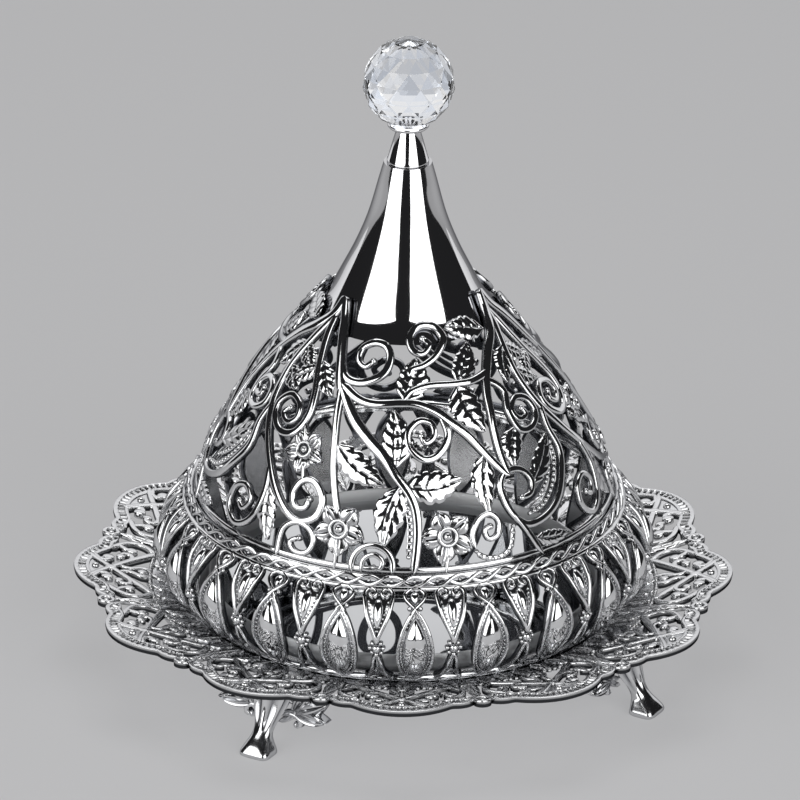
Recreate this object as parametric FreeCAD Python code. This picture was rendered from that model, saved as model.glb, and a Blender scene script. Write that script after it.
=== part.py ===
import FreeCAD, Part
import math
import os

# Lidded sweet dish: a lace tray on four feet, an openwork basket with a polished dish in it,
# and an openwork lid with a plain spire and a cut-glass ball. Millimetres, +Z up.
# The front of the dish faces -Y, and angles are counted from the front towards +X.

V = FreeCAD.Vector
Z = V(0, 0, 1)

# Tray
TRAY_UNDER = 20.0
TRAY_TOP = 22.2
TRAY_FLAT_R = 73.0
LOBES = 12
LOBE_TIP_R = 111.0
LOBE_SHOULDER_R = 104.6
LOBE_NOTCH_R = 99.6
BEAD_CIRCLE_R = 102.6
BEAD_R = 3.1
BEAD_HOLE_R = 1.6
BEAD_Z = (26.4, 29.0)

# Feet
FEET = 4
FIRST_FOOT = -30.0

# Basket
MOTIFS = 20
FIRST_MOTIF = 3.0
WALL = 1.8
BASE_RING_TOP = 25.0
BASKET_BASE_R = 71.0
BELLY_R = 81.3
BELLY_Z = 40.5
BASKET_RIM_R = 72.2
BASKET_RIM_Z = 56.5
BRAID_EYES = 60
RIM_WIRE_R = 0.8
HEART_TIP_Z = 42.0
HEART_BEAD_Z = 39.2
LEGS_TOP_Z = 37.4
BOSS_PROUD = 2.2
BOSS_ROUND = 4.6
DISH_R = 65.6
DISH_RIM_Z = 29.0

# Lid
PANELS = 3
PANEL_MIDDLE = 9.0
LID_LEDGE_Z = 58.6
LID_RING_TOP = 61.0
LID_RING_R = 70.2
PANEL_T = 1.4
PANEL_FLAT_R = 50.0
PANEL_MERIDIAN = [(69.8, 61), (66.5, 71), (62, 82), (52.2, 99.5), (43.2, 112), (33, 125.5), (28.2, 131),
                  (24.8, 137), (23.2, 140)]
ARCH_R = 33.1
ARCH_LOW_Z = 129.0

# Spire and knob
SPIRE = [(31, 126), (26.3, 131.5), (21.3, 141), (17, 150), (13, 160.5), (9.2, 174), (8.4, 179)]
SPIRE_T = 1.0
SPIRE_TOP_T = 1.5
STUD_R = 2.0
BORE_R = 2.1
STEM_Z = (179.0, 191.0)
STEM_R = (6.5, 4.2)
CUP_TOP = 192.6
CUP_R = 6.3
BALL_Z = 207.2
BALL_FACET = 14.6


def at(angle, radius, z=0.0):
    """Point at an angle from the front, in degrees"""
    a = math.radians(angle)
    return V(radius * math.sin(a), -radius * math.cos(a), z)


def turned(shape, angle):
    """Copy of a shape turned about the axis of the dish"""
    copy = shape.copy()
    copy.rotate(V(0, 0, 0), Z, angle)
    return copy


def spline(points):
    curve = Part.BSplineCurve()
    curve.interpolate(points)
    return curve.toShape()


def half_plane(points):
    """Points (radius, z) set in the plane of the front, where the radius runs along -Y"""
    return [V(0, -r, z) for r, z in points]


def closed_face(edges):
    return Part.Face(Part.Wire(Part.__sortEdges__(edges)))


def revolved(points, angle=360.0, start=0.0):
    """Solid of revolution of a polygon of (radius, z) points"""
    face = Part.Face(Part.makePolygon(half_plane(points + points[:1])))
    return turned(face.revolve(V(0, 0, 0), Z, angle), start)


def swept_skin(outer, inner, angle=360.0, start=0.0):
    """Solid between two smooth meridians that run the same way"""
    a, b = half_plane(outer), half_plane(inner)
    edges = [spline(a), spline(b), Part.makeLine(a[0], b[0]), Part.makeLine(a[-1], b[-1])]
    return turned(closed_face(edges).revolve(V(0, 0, 0), Z, angle), start)


def offset_points(points, distance):
    """Meridian points moved towards the axis, square to the curve"""
    moved = []
    for i, (r, z) in enumerate(points):
        r0, z0 = points[max(i - 1, 0)]
        r1, z1 = points[min(i + 1, len(points) - 1)]
        length = math.hypot(r1 - r0, z1 - z0)
        moved.append((r - distance * (z1 - z0) / length, z + distance * (r1 - r0) / length))
    return moved


class Skin:
    """Surface of revolution laid flat at a reference radius, so that small shapes keep their form"""

    def __init__(self, meridian, radius):
        self.radius = radius
        self.samples = [(-p.y, p.z) for p in spline(half_plane(meridian)).discretize(Number=300)]
        self.flat = [0.0]
        for (r0, z0), (r1, z1) in zip(self.samples, self.samples[1:]):
            step = math.hypot(r1 - r0, z1 - z0) * 2 * radius / (r0 + r1)
            self.flat.append(self.flat[-1] + step)

    def index(self, z):
        """Sample at a level on the surface"""
        return next((k for k, s in enumerate(self.samples) if s[1] >= z), len(self.samples) - 1)

    def height(self, z):
        """Flat height of a level on the surface"""
        return self.flat[self.index(z)]

    def point(self, x, y):
        """Point of the surface for a point of the flat layout"""
        i = next((k for k, f in enumerate(self.flat) if f > y), len(self.flat) - 1)
        i = max(i, 1)
        t = (y - self.flat[i - 1]) / (self.flat[i] - self.flat[i - 1])
        r = self.samples[i - 1][0] + t * (self.samples[i][0] - self.samples[i - 1][0])
        z = self.samples[i - 1][1] + t * (self.samples[i][1] - self.samples[i - 1][1])
        return at(math.degrees(x / self.radius), r, z)

    def prism(self, face, depth):
        """A flat face carried on to the surface and thickened through it, square to the surface at its middle"""
        middle = face.CenterOfMass
        seat = self.point(middle.x, middle.y)
        across = self.point(middle.x + 0.1, middle.y) - self.point(middle.x - 0.1, middle.y)
        up = self.point(middle.x, middle.y + 0.1) - self.point(middle.x, middle.y - 0.1)
        out = across.cross(up).normalize()
        lines, reach = [], 0.0
        for edge in [e for e in face.OuterWire.OrderedEdges if e.Length > 0.2]:
            on_skin = [self.point(p.x, p.y) for p in edge.discretize(Number=max(6, int(edge.Length / 1.1)))]
            reach = max([reach] + [abs((p - seat).dot(out)) for p in on_skin])
            lines.append([p - out * (p - seat).dot(out) for p in on_skin])
        ends = [lines[min(1, len(lines) - 1)][k] for k in (0, -1)]
        if min((lines[0][0] - q).Length for q in ends) < min((lines[0][-1] - q).Length for q in ends):
            lines[0].reverse()
        for before, line in zip(lines, lines[1:]):
            if (line[-1] - before[-1]).Length < (line[0] - before[-1]).Length:
                line.reverse()
            line[0] = before[-1]
        lines[-1][-1] = lines[0][0]
        plan = Part.Face(Part.Wire([spline(line) for line in lines]))
        plan.translate(-out * (reach + depth))
        return plan.extrude(out * 2 * (reach + depth))


def strip(points, start_width, end_width, samples=14):
    """Flat band along a smooth line, tapering from one width to the other"""
    line = spline([V(x, y, 0) for x, y in points])
    first, last = line.FirstParameter, line.LastParameter
    left, right = [], []
    for i in range(samples):
        t = first + (last - first) * i / (samples - 1)
        normal = line.tangentAt(t).cross(Z) * (start_width + (end_width - start_width) * i / (samples - 1)) / 2
        left.append(line.valueAt(t) + normal)
        right.append(line.valueAt(t) - normal)
    ends = [Part.makeLine(left[0], right[0]), Part.makeLine(left[-1], right[-1])]
    return closed_face([spline(left), spline(right)] + ends)


def volute(x, y, r, start, hand, turns=1.5, width=1.9):
    """Flat spiral band running inwards to a round eye; hand +1 turns anticlockwise"""
    points = []
    count = int(10 * turns) + 1
    for i in range(count):
        t = i / (count - 1)
        a = math.radians(start + hand * (360 * turns * t - 12))
        radius = r * (1 - 0.76 * t)
        points.append((x + radius * math.cos(a), y + radius * math.sin(a)))
    return [strip(points, width, width * 0.9, 3 * count), disc(points[-1][0], points[-1][1], 0.75 * width)]


def disc(x, y, r):
    return Part.Face(Part.Wire(Part.makeCircle(r, V(x, y, 0))))


def ring(x, y, r, width):
    return disc(x, y, r).cut(disc(x, y, r - width)).Faces[0]


def leaf(base, tip, width):
    """Flat pointed leaf between two points"""
    a, b = V(base[0], base[1], 0), V(tip[0], tip[1], 0)
    side = (b - a).cross(Z).normalize() * width / 2
    middle = a + (b - a) * 0.45
    return closed_face([Part.Arc(a, middle + side, b).toShape(), Part.Arc(a, middle - side, b).toShape()])


def flower(x, y, r, petals):
    """Flat flower outline: round petals that meet in notches"""
    edges = []
    for k in range(petals):
        a, m, b = [math.radians(90 + 360 * (k + s) / petals) for s in (-0.5, 0, 0.5)]
        p, q, s = [V(x + d * math.cos(t), y + d * math.sin(t), 0) for d, t in ((0.73 * r, a), (r, m), (0.73 * r, b))]
        edges.append(Part.Arc(p, q, s).toShape())
    return closed_face(edges)


def drop(x, y, r, tip_x, tip_y):
    """Flat drop: a round end about one point, drawn out to a tip"""
    c, tip = V(x, y, 0), V(tip_x, tip_y, 0)
    along = tip - c
    length = along.Length
    along = along.normalize()
    side = along.cross(Z)
    foot = c + along * (r * r / length)
    half = side * (r * math.sqrt(1 - (r / length) ** 2))
    arc = Part.Arc(foot + half, c - along * r, foot - half).toShape()
    return closed_face([arc, Part.makeLine(foot - half, tip), Part.makeLine(tip, foot + half)])


def open_parts(domain, pieces):
    """Openings left in a flat domain by the ornament; every piece of ornament must hold on to the rest"""
    openings = [f for f in domain.cut(pieces).Faces if f.Area > 7]
    for f in openings:
        islands = [w.BoundBox.Center for w in f.Wires if w.Length > 1 and not w.isSame(f.OuterWire)]
        if islands:
            raise ValueError("loose ornament at " + str([(round(c.x), round(c.y)) for c in islands]))
    return openings


# Tray


def lobe_edges(k):
    """Outline of one scallop: a wide arc between two small shoulders"""
    a = 360.0 / LOBES * k
    notch = [at(a + s * 14.4, LOBE_NOTCH_R) for s in (-1, 1)]
    shoulder = [at(a + s * 9.2, LOBE_SHOULDER_R) for s in (-1, 1)]
    bulge = [at(a + s * 12.3, 104.2) for s in (-1, 1)]
    edges = [Part.Arc(notch[0], bulge[0], shoulder[0]).toShape(),
             Part.Arc(shoulder[0], at(a, LOBE_TIP_R), shoulder[1]).toShape(),
             Part.Arc(shoulder[1], bulge[1], notch[1]).toShape(),
             Part.makeLine(notch[1], at(a + 360.0 / LOBES - 14.4, LOBE_NOTCH_R))]
    return edges


def lobe_openings(k):
    """Openings of one scallop, drawn in plan about its own middle line"""
    shapes = [drop(0, -96.2, 1.9, 0, -88), leaf((0, -76.5), (0, -86.5), 3.2)]
    for s in (-1, 1):
        shapes.append(drop(s * 5.2, -102.3, 1.7, s * 11.5, -99.6))
        shapes.append(drop(s * 6.2, -95.2, 2.2, s * 3.2, -86.6))
        shapes.append(drop(s * 13.2, -97.2, 2.3, s * 9.6, -90.5))
        shapes.append(leaf((s * 8.2, -77.2), (s * 10.2, -89), 3.6))
        shapes.append(leaf((s * 15.6, -77), (s * 18.3, -88.6), 3.0))
        shapes.append(leaf((s * 17.5, -90.5), (s * 20.6, -97.2), 2.4))
    return [turned(f, 360.0 / LOBES * k) for f in shapes]


under = half_plane([(TRAY_FLAT_R, TRAY_UNDER), (92.5, 25.0), (114, 27.7)])
upper = half_plane([(TRAY_FLAT_R - 1, TRAY_TOP), (92, 27.2), (114, 29.9)])
axis_low, axis_top = half_plane([(0, TRAY_UNDER), (0, TRAY_TOP)])
tray_face = closed_face([Part.Arc(*under).toShape(), Part.Arc(*upper).toShape(), Part.makeLine(under[2], upper[2]),
                         Part.makeLine(axis_low, under[0]), Part.makeLine(axis_top, upper[0]),
                         Part.makeLine(axis_low, axis_top)])
tray_blank = tray_face.revolve(V(0, 0, 0), Z, 360)
outline = []
for k in range(LOBES):
    outline += lobe_edges(k)
outline_prism = closed_face(outline).extrude(V(0, 0, 60))
tray = tray_blank.common(outline_prism)
tray = tray.cut([f.extrude(V(0, 0, 60)) for k in range(LOBES) for f in lobe_openings(k)])
beads = []
for k in range(LOBES):
    foot_point = at(360.0 / LOBES * (k + 0.5), BEAD_CIRCLE_R, BEAD_Z[0])
    beads.append(Part.makeCylinder(BEAD_R, BEAD_Z[1] - BEAD_Z[0], foot_point))
tray = tray.fuse(beads)
bead_holes = []
for k in range(LOBES):
    foot_point = at(360.0 / LOBES * (k + 0.5), BEAD_CIRCLE_R, BEAD_Z[0] - 5)
    bead_holes.append(Part.makeCylinder(BEAD_HOLE_R, 12, foot_point))
tray = tray.cut(bead_holes)

# Feet


def ellipse_wire(r, z, across, along):
    """Section of a leg: an ellipse with one axis across the foot and one along the radius"""
    if across >= along:
        curve = Part.Ellipse(V(0, 0, 0), across, along)
    else:
        curve = Part.Ellipse(V(0, 0, 0), along, across)
        curve.rotate(FreeCAD.Placement(V(0, 0, 0), FreeCAD.Rotation(Z, 90)))
    wire = Part.Wire(curve.toShape())
    wire.translate(at(0, r, z))
    return wire


leg = Part.makeLoft([ellipse_wire(84, 27, 8.5, 5.5), ellipse_wire(86, 17, 5.6, 4.4), ellipse_wire(90, 9, 3.0, 2.8),
                     ellipse_wire(92.5, 5, 3.2, 3.1), ellipse_wire(94, 1.6, 5.0, 4.6), ellipse_wire(94.2, 0, 5.0, 4.6)],
                    True, False)
wing_shapes = []
for s in (-1, 1):
    wing_shapes += [strip([(s * 1.0, 8.5), (s * 5.5, 10.0), (s * 9.5, 14.0), (s * 12.5, 19.5), (s * 13, 27)], 2.4, 4.0)]
    wing_shapes += volute(s * 7.4, 15.6, 3.9, -90, s, 1.2, 1.6)
    wing_shapes += [leaf((s * 10, 14), (s * 18.5, 20.5), 4.2)]
wings = []
for f in wing_shapes:
    piece = f.copy()
    piece.rotate(V(0, 0, 0), V(1, 0, 0), 90)
    piece.translate(V(0, -86.2, 0))
    wings.append(piece.extrude(V(0, 3.4, 0)))
tray_cap = closed_face([Part.Arc(*under).toShape(), Part.makeLine(under[2], V(0, -114, 60)),
                        Part.makeLine(V(0, -114, 60), V(0, 0, 60)), Part.makeLine(V(0, 0, 60), axis_low),
                        Part.makeLine(axis_low, under[0])]).revolve(V(0, 0, 0), Z, 360)
foot = leg.fuse(wings).cut(tray_cap).removeSplitter()
feet = [turned(foot, FIRST_FOOT + 360.0 / FEET * k) for k in range(FEET)]

# Basket

base_ring = revolved([(66.2, TRAY_TOP), (70.8, TRAY_TOP), (72.2, 23.2), (72.0, BASE_RING_TOP), (68.4, BASE_RING_TOP)])
dish = revolved([(0, TRAY_TOP), (63.6, TRAY_TOP), (DISH_R, 24.2), (DISH_R, DISH_RIM_Z), (DISH_R - 1.0, DISH_RIM_Z),
                 (DISH_R - 1.0, 24.6), (63.2, 23.4), (0, 23.4)])
rim_band = revolved([(67.8, BASKET_RIM_Z), (72.8, BASKET_RIM_Z), (73.4, 57.2), (73.4, 60.4), (72.8, 61.2),
                     (71.2, 61.2), (70.6, 60.6), (70.6, LID_LEDGE_Z), (67.8, LID_LEDGE_Z)])
eyes = []
for k in range(BRAID_EYES):
    eye = leaf((-2.5, 59.9), (2.5, 59.9), 1.5)
    eye.rotate(V(0, 0, 0), V(1, 0, 0), 90)
    eyes.append(turned(eye.extrude(V(0, -80, 0)), 360.0 / BRAID_EYES * k))
eye_ring = revolved([(72.6, 56), (80, 56), (80, 62), (72.6, 62)])
rim_band = rim_band.cut([e.common(eye_ring) for e in eyes])
rim_wire = Part.makeTorus(73.4 + RIM_WIRE_R, RIM_WIRE_R, V(0, 0, 57.9), Z)

wall_arc = Part.Arc(*half_plane([(BASKET_BASE_R, BASE_RING_TOP - 1), (BELLY_R, BELLY_Z), (BASKET_RIM_R, BASKET_RIM_Z + 1)]))
wall_circle = wall_arc.toShape().Curve
wall_points = [(-p.y, p.z) for p in wall_arc.toShape().discretize(Number=9)]
wall_skin = Skin(wall_points, BELLY_R)
step = 360.0 / MOTIFS
half = math.radians(step / 2) * BELLY_R
wall_blank = swept_skin(wall_points, offset_points(wall_points, WALL), step, -step / 4)
wall_blank = wall_blank.common(Part.makeBox(240, 240, BASKET_RIM_Z - BASE_RING_TOP, V(-120, -120, BASE_RING_TOP)))
low = wall_skin.height(BASE_RING_TOP)
top = wall_skin.height(BASKET_RIM_Z)


def boss_ornament(x):
    """Flat frame of a pointed boss, hung from the rim by a loop"""
    return [leaf((x, low), (x, top - 8.2), 10.8), drop(x, top - 4.4, 3.0, x, top - 12)]


def heart_ornament(x):
    """Flat heart with a drop in it, standing on a bead and two split legs"""
    tip, knot, hip = [wall_skin.height(z) for z in (HEART_TIP_Z, HEART_BEAD_Z, LEGS_TOP_Z)]
    pieces = [drop(x, top - 6.4, 2.1, x, tip), disc(x, knot, 2.3), leaf((x, hip - 5), (x, low), 3.0)]
    for s in (-1, 1):
        heart = [(x, knot), (x + s * 0.9, tip + 0.6), (x + s * 4.4, top - 8), (x + s * 5.2, top - 4), (x + s * 3, top)]
        pieces.append(strip(heart, 2.0, 1.7))
        pieces.append(strip([(x, knot), (x + s * 1.6, hip - 4), (x + s * 3.4, low + 4), (x + s * 6, low)], 1.8, 1.8))
    return pieces


borders = [Part.makePlane(6 * half, 2.4, V(-3 * half, low - 1, 0)), Part.makePlane(6 * half, 2.0, V(-3 * half, top - 1, 0))]
wall_ornament = borders + boss_ornament(0) + boss_ornament(2 * half) + heart_ornament(-half) + heart_ornament(half)
wall_domain = Part.makePlane(2.6 * half, top - low, V(-0.8 * half, low, 0))
wall_openings = open_parts(wall_domain, wall_ornament)
boss_seat = wall_skin.prism(leaf((0, low + 2.0), (0, top - 10.6), 7.0), 4)
motif = wall_blank.cut([wall_skin.prism(f, 4) for f in wall_openings] + [boss_seat])
boss_round = Part.makeTorus(wall_circle.Radius + BOSS_PROUD - BOSS_ROUND, BOSS_ROUND, wall_circle.Center, V(1, 0, 0))
boss_layer = swept_skin(offset_points(wall_points, -BOSS_PROUD - 1), offset_points(wall_points, WALL), step, -step / 2)
boss = boss_seat.common(boss_layer).common(boss_round)
motifs = [turned(motif, FIRST_MOTIF + step * k) for k in range(MOTIFS)]
bosses = [turned(boss, FIRST_MOTIF + step * k) for k in range(MOTIFS)]

# Lid

spire_outer = SPIRE
spire_inner = [(r - SPIRE_T, z) for r, z in SPIRE[:-1]] + [(SPIRE[-1][0] - SPIRE_T, SPIRE[-1][1] - SPIRE_TOP_T)]
so, si = half_plane(spire_outer), half_plane(spire_inner)
spire_top = half_plane([(BORE_R, SPIRE[-1][1]), (BORE_R, SPIRE[-1][1] - SPIRE_TOP_T)])
spire_face = closed_face([spline(so), spline(si), Part.makeLine(so[0], si[0]), Part.makeLine(so[-1], spire_top[0]),
                          Part.makeLine(spire_top[0], spire_top[1]), Part.makeLine(spire_top[1], si[-1])])
spire = spire_face.revolve(V(0, 0, 0), Z, 360)
core_points = half_plane([(0, SPIRE[0][1]), (0, SPIRE[-1][1])])
spire_core = closed_face([spline(so), Part.makeLine(so[0], core_points[0]), Part.makeLine(core_points[0], core_points[1]),
                          Part.makeLine(core_points[1], so[-1])]).revolve(V(0, 0, 0), Z, 360)

lid_ring = revolved([(66.4, LID_LEDGE_Z), (LID_RING_R, LID_LEDGE_Z), (LID_RING_R, LID_RING_TOP - 0.4),
                     (LID_RING_R - 0.4, LID_RING_TOP), (67.4, LID_RING_TOP), (66.4, LID_RING_TOP - 1.0)])

skin = Skin(PANEL_MERIDIAN, PANEL_FLAT_R)
span = 360.0 / PANELS
period = math.radians(span) * PANEL_FLAT_R


def arch_line():
    """Flat centre line of the border along the arched top of a panel, from one ridge to the next"""
    points = []
    for k in range(-6, 7):
        angle = span / 12 * k
        z = ARCH_LOW_Z
        for _ in range(30):
            r = skin.samples[skin.index(z)][0]
            level = ARCH_LOW_Z + ARCH_R - math.sqrt(ARCH_R ** 2 - (r * math.sin(math.radians(angle))) ** 2)
            z = (z + level) / 2
        points.append((math.radians(angle) * PANEL_FLAT_R, skin.height(z) - 2.0))
    return points


def panel_ornament():
    """Flat ornament of one panel: stems that leave the ridges, volutes, leaves and flowers"""
    half_period = period / 2
    pieces = [strip(arch_line(), 3.6, 3.6, 20),
              strip([(-half_period, 95), (-46, 78), (-38, 61.5), (-34, 52.7)], 6.0, 3.0),
              strip([(half_period, 95), (44, 80), (35.5, 67.3), (28.9, 57.4)], 6.0, 3.0),
              strip([(-34, 53.5), (-31.5, 42), (-30.8, 32.4), (-27, 22), (-24.6, 12)], 2.4, 1.8),
              strip([(-34.5, 53.5), (-24.9, 43.5), (-16.6, 34.9), (-7.9, 22.6), (-5, 12), (-3.9, 0)], 3.0, 2.2),
              strip([(-34, 53), (-25, 50), (-17.4, 48.2), (-8, 49.2), (-0.6, 48.4), (4.6, 44.2), (6.0, 38.5)], 2.6, 2.0),
              strip([(-42, 69), (-37, 59.5), (-30, 56.6), (-23.8, 58.0)], 2.6, 2.2),
              strip([(29.5, 59), (18, 56), (6, 57.5), (-4, 62.5), (-7.6, 71)], 2.8, 2.4),
              strip([(28.6, 58.5), (26, 50), (25, 44), (24.5, 34), (23.6, 24.2), (22, 12), (21, 0)], 3.0, 2.0),
              strip([(4.4, 45), (10, 39), (16.2, 32.2), (24, 23)], 2.4, 1.9),
              strip([(32, 63), (39, 53), (42.0, 40.5)], 2.6, 2.0),
              strip([(-39.6, 64), (-41.4, 52), (-41.4, 39.5)], 2.6, 2.0),
              strip([(38, 71), (47, 64), (51, 54)], 2.6, 2.0), strip([(51.0, 0), (51.2, 6), (50.6, 11)], 2.0, 2.0)]
    links = [[(-24.5, 6), (-24.5, 0)], [(15, 6.4), (15, 0)], [(23, 13), (18, 10.5)], [(22.6, 19.5), (28.5, 16.5)],
             [(33, 9), (33, 0)], [(-30.5, 36), (-36.5, 32)], [(-39.4, 26), (-40.2, 18), (-39.0, 13.5)],
             [(-40, 19), (-43.4, 9), (-43.4, 0)], [(-45.5, 36), (-42.5, 33)], [(31, 29.5), (33.4, 36)], [(5.2, 66.4), (14, 57)],
             [(-8.4, 38), (-12.5, 33)], [(12.6, 19.6), (3.2, 9.4)], [(46.6, 29.5), (41, 37)], [(-15, 12.4), (-21, 11)],
             [(-43, 30), (-48.6, 22), (-47.6, 10), (-49.6, 0)], [(41.5, 45), (46.4, 49.8)], [(-30.6, 30), (-24, 27.5)],
             [(-2, 61.4), (-2, 48)], [(-13.6, 70.6), (-16.6, 67)], [(7.6, 72.8), (18, 81)], [(-28.4, 68.2), (-40, 68)],
             [(20.6, 67), (7.4, 69.4)], [(45, 16), (39, 12)], [(12.6, 49.6), (5.4, 46)], [(-33, 10), (-29.4, 9.5)],
             [(43, 76.5), (52.4, 71.5), (62.6, 70.5)], [(49.2, 58), (55, 59.2)], [(47, 29.6), (55.6, 24)]]
    pieces += [strip(line, 1.8, 1.8, 8) for line in links]
    leaves = [((-4.4, 62.6), (-14.6, 72), 6.0), ((-13.2, 31.4), (-8.6, 45), 5.6), ((-20, 39), (-24.6, 26.5), 5.6),
              ((-7.4, 21.2), (6.2, 24.6), 5.4), ((23.4, 24.2), (11.6, 19.4), 5.4), ((25.4, 46), (12.6, 50), 5.4),
              ((24.6, 38), (31.6, 28.6), 5.4), ((-5.8, 17), (-15.6, 12.4), 5.4), ((42.6, 77), (25, 82.6), 7.0),
              ((37, 69.6), (19.6, 66.6), 7.0), ((-45, 76), (-30.4, 83.6), 7.0), ((-41.4, 52), (-50.6, 60), 5.0),
              ((-1.2, 33), (2.4, 22.6), 3.6), ((5.6, 24.2), (15.4, 33), 3.8), ((-17, 47.8), (-10, 58), 4.6),
              ((-25, 50), (-18, 58.5), 4.4), ((16, 56.2), (20, 46.6), 4.4), ((24.5, 34), (16.4, 41), 4.2),
              ((-31, 38), (-38, 45), 4.4), ((-29.4, 27), (-21.4, 19), 4.4), ((51, 54), (57.6, 42.4), 4.4),
              ((30, 9.5), (37.5, 20), 3.6), ((-6, 14), (-13, 22), 4.0), ((-16, 34), (-25, 39), 3.4)]
    pieces += [leaf(base, tip, width) for base, tip, width in leaves]
    pieces += [flower(-24.5, 9.6, 6.0, 5), flower(2.8, 8.3, 7.2, 7), flower(-39.6, 30, 5.8, 6), ring(15, 9.6, 4.2, 1.5),
               ring(-14.6, 2.6, 4.4, 1.6), drop(33, 14, 6.6, 47.6, 30.4).cut(drop(33, 14, 4.6, 42.2, 24.4)).Faces[0]]
    pieces += volute(-1, 38.5, 7.0, 0, -1, 1.6, 2.0) + volute(-23.8, 66.6, 8.6, -90, 1, 1.5, 2.6)
    pieces += volute(1.4, 71, 9.0, 180, -1, 1.5, 2.8) + volute(36.2, 40.5, 5.8, 0, -1, 1.4, 1.9)
    pieces += volute(-46.6, 39.5, 5.2, 0, -1, 1.4, 1.9) + volute(45.4, 11, 5.2, 0, 1, 1.4, 1.8)
    pieces += volute(-34.4, 13.5, 4.6, 180, 1, 1.3, 1.7) + volute(46.0, 54, 5.0, 0, -1, 1.4, 1.9)
    return pieces


def repeated(pieces, limit):
    """The ornament together with what reaches in from the neighbouring panels"""
    found = list(pieces)
    for p in pieces:
        for s in (-period, period):
            copy = p.copy()
            copy.translate(V(s, 0, 0))
            if copy.BoundBox.XMax > -limit and copy.BoundBox.XMin < limit:
                found.append(copy)
    return found


def panel_domain(limit):
    """Flat area that may be opened: above the bottom border and below the arched border"""
    arch = arch_line()
    spare = limit - period / 2
    slope = (arch[-1][1] - arch[-2][1]) / (arch[-1][0] - arch[-2][0])
    side_y = arch[-1][1] - slope * spare
    corners = [(-limit, side_y), (-limit, 1.8), (limit, 1.8), (limit, side_y)]
    points = [V(x, y, 0) for x, y in corners]
    rise = [V(x, y, 0) for x, y in arch]
    edges = [Part.makeLine(points[0], points[1]), Part.makeLine(points[1], points[2]), Part.makeLine(points[2], points[3]),
             Part.makeLine(points[3], rise[-1]), spline(rise), Part.makeLine(rise[0], points[0])]
    return closed_face(edges)


limit = period / 2 + 7
panel_openings = open_parts(panel_domain(limit), repeated(panel_ornament(), limit))
panel_blank = swept_skin(PANEL_MERIDIAN, offset_points(PANEL_MERIDIAN, PANEL_T), span, -span / 2)
panel_blank = panel_blank.common(Part.makeBox(200, 200, 100, V(-100, -100, LID_RING_TOP)))
arch_tool = Part.makeCylinder(ARCH_R, 100, V(0, 0, ARCH_LOW_Z + ARCH_R), V(0, -1, 0))
panel_blank = panel_blank.cut(arch_tool).cut(spire_core)
panel = panel_blank.cut([skin.prism(f, 4) for f in panel_openings])
panels = [turned(panel, PANEL_MIDDLE + span * k) for k in range(PANELS)]

# Knob

stem = revolved([(BORE_R, STEM_Z[0]), (STEM_R[0], STEM_Z[0]), (STEM_R[0], 180.2), (5.9, 181.4), (STEM_R[1], 190.0),
                 (STEM_R[1], STEM_Z[1]), (BORE_R, STEM_Z[1])])
cup = revolved([(BORE_R, STEM_Z[1]), (5.4, STEM_Z[1]), (CUP_R, 191.8), (CUP_R, CUP_TOP), (BORE_R, CUP_TOP)])
stud = Part.makeCylinder(STUD_R, 28.0, V(0, 0, 171.5))
washer_top = SPIRE[-1][1] - SPIRE_TOP_T
washer = revolved([(BORE_R, washer_top - 0.8), (4.5, washer_top - 0.8), (4.5, washer_top), (BORE_R, washer_top)])
hexagon = [V(4.04 * math.cos(math.radians(60 * k)), 4.04 * math.sin(math.radians(60 * k)), 0) for k in range(7)]
nut = Part.Face(Part.makePolygon(hexagon)).extrude(V(0, 0, 3.2))
nut.translate(V(0, 0, washer_top - 0.8 - 3.2))
nut = nut.cut(Part.makeCylinder(STUD_R, 10, V(0, 0, washer_top - 8)))

facet_rows = [(-90, 1, 0), (-70, 6, 30), (-45, 12, 0), (-15, 12, 15), (15, 12, 0), (45, 12, 15), (70, 6, 30)]
ball = Part.makeBox(40, 40, 40, V(-20, -20, -20))
for latitude, count, shift in facet_rows:
    for k in range(count):
        t = math.radians(latitude)
        normal = at(shift + 360.0 / count * k, math.cos(t), math.sin(t))
        beyond = Part.makeBox(90, 90, 40, V(-45, -45, 0))
        beyond.Placement = FreeCAD.Placement(normal * BALL_FACET, FreeCAD.Rotation(Z, normal))
        ball = ball.cut(beyond)
ball.translate(V(0, 0, BALL_Z))
ball = ball.cut(Part.makeCylinder(STUD_R, 7.0, V(0, 0, BALL_Z - BALL_FACET)))

nodes = {"tray": tray, "basket_base_ring": base_ring, "basket_motifs": Part.makeCompound(motifs),
         "basket_bosses": Part.makeCompound(bosses), "basket_rim_band": rim_band, "basket_rim_wire": rim_wire,
         "inner_dish": dish, "lid_base_ring": lid_ring, "spire": spire, "knob_stem": stem, "knob_cup": cup,
         "knob_stud": stud, "knob_washer": washer, "knob_nut": nut, "crystal_ball": ball}
for k, piece in enumerate(feet):
    nodes["foot_%d" % (k + 1)] = piece
for k, piece in enumerate(panels):
    nodes["lid_panel_%d" % (k + 1)] = piece

os.makedirs("parts", exist_ok=True)
for name, piece in nodes.items():
    piece.exportStep("parts/%s.step" % name)
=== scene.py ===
import math

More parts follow.
